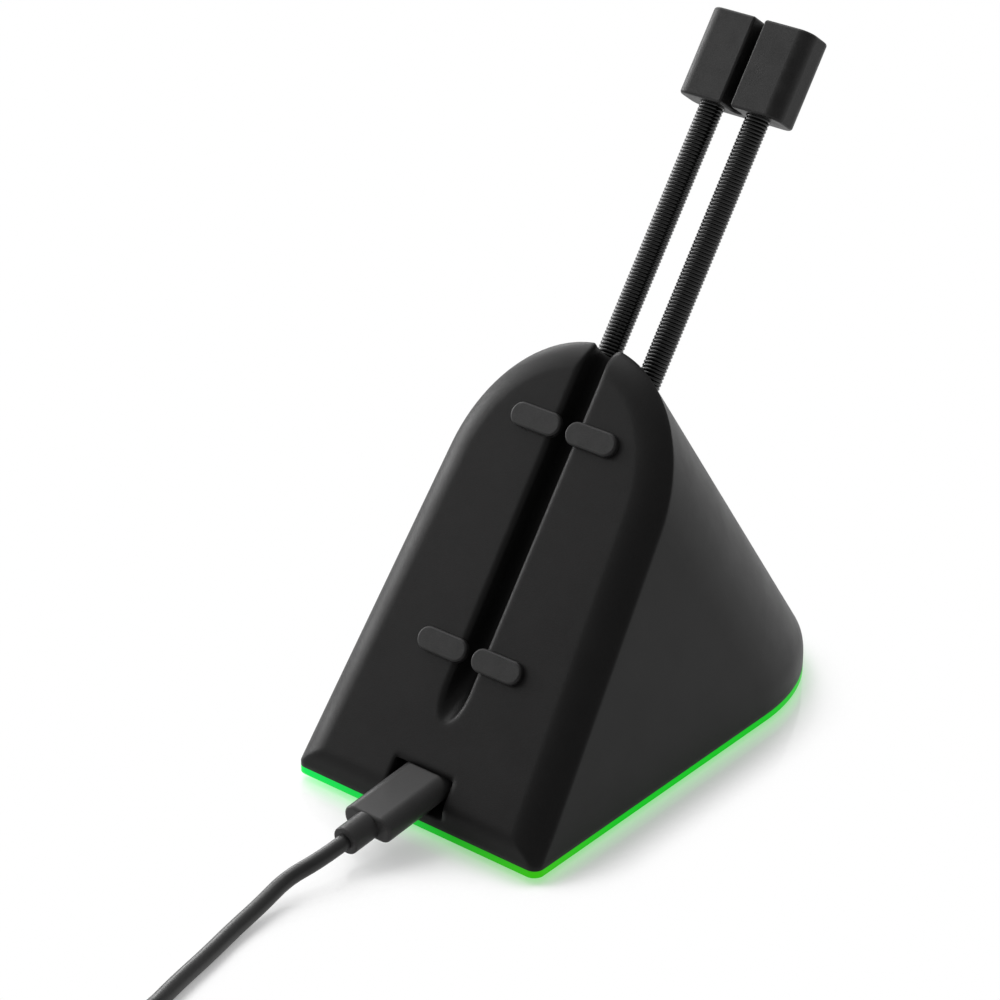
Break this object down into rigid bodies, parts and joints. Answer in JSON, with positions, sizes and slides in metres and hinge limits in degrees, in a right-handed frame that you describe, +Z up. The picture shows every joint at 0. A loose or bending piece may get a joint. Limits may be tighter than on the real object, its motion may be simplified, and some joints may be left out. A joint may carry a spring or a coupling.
{
  "type": "mouse bungee",
  "caption": "Weighted wedge that holds a mouse cable in a channel with rubber pegs and in a forked clip on two spring arms, with a lit foot and a plugged-in lead.",
  "frame": {"origin": "on the desk, under the middle of the wedge", "axes": "+Z up, -Y the way the leaning face looks, +X to the right seen from the front"},
  "size_m": [0.0901, 0.2696, 0.1425],
  "materials": {
    "shell": "soft-touch, fine grain",
    "soft_rubber": "smooth matte",
    "spring_steel": "gloss black",
    "light": "clear, lit green",
    "base": "moulded",
    "pad": "matte",
    "steel": "plain",
    "screw": "plain",
    "board": "solder resist",
    "lamp": "clear resin",
    "bright_metal": "plated",
    "contact_block": "moulded",
    "overmould": "satin",
    "sheath": "satin",
    "strap": "woven"
  },
  "bodies": {
    "base": {"housing": "shell", "peg_lower_left": "soft_rubber", "peg_lower_right": "soft_rubber", "peg_upper_left": "soft_rubber", "peg_upper_right": "soft_rubber", "spring_left": "spring_steel", "spring_right": "spring_steel", "light_guide": "light", "base_plate": "base", "arm_holder": "base", "grip_pad": "pad", "ballast": "steel", "case_screws": "screw", "ballast_screws": "screw", "port_board_screws": "screw", "arm_holder_screws": "screw", "light_board": "board", "port_board": "board", "leds": "lamp", "port_shell": "bright_metal", "plug_shell": "bright_metal", "host_plug_shell": "bright_metal", "port_tongue": "contact_block", "host_plug_tongue": "contact_block", "plug_body": "overmould", "host_plug_body": "overmould", "cable_lead": "sheath", "cable_coil": "sheath", "cable_tail": "sheath", "cable_ties": "strap"},
    "clip": {"cable_clip": "soft_rubber"}
  },
  "joints": [
    {"name": "arm_bend", "type": "hinge", "parent": "base", "child": "clip", "pos_m": [0, 0.01829, 0.09284], "axis": [1, 0, 0], "range_deg": [-30, 45], "stiffness_Nm_per_rad": 0.12, "deforming": ["spring_left", "spring_right"]}
  ]
}
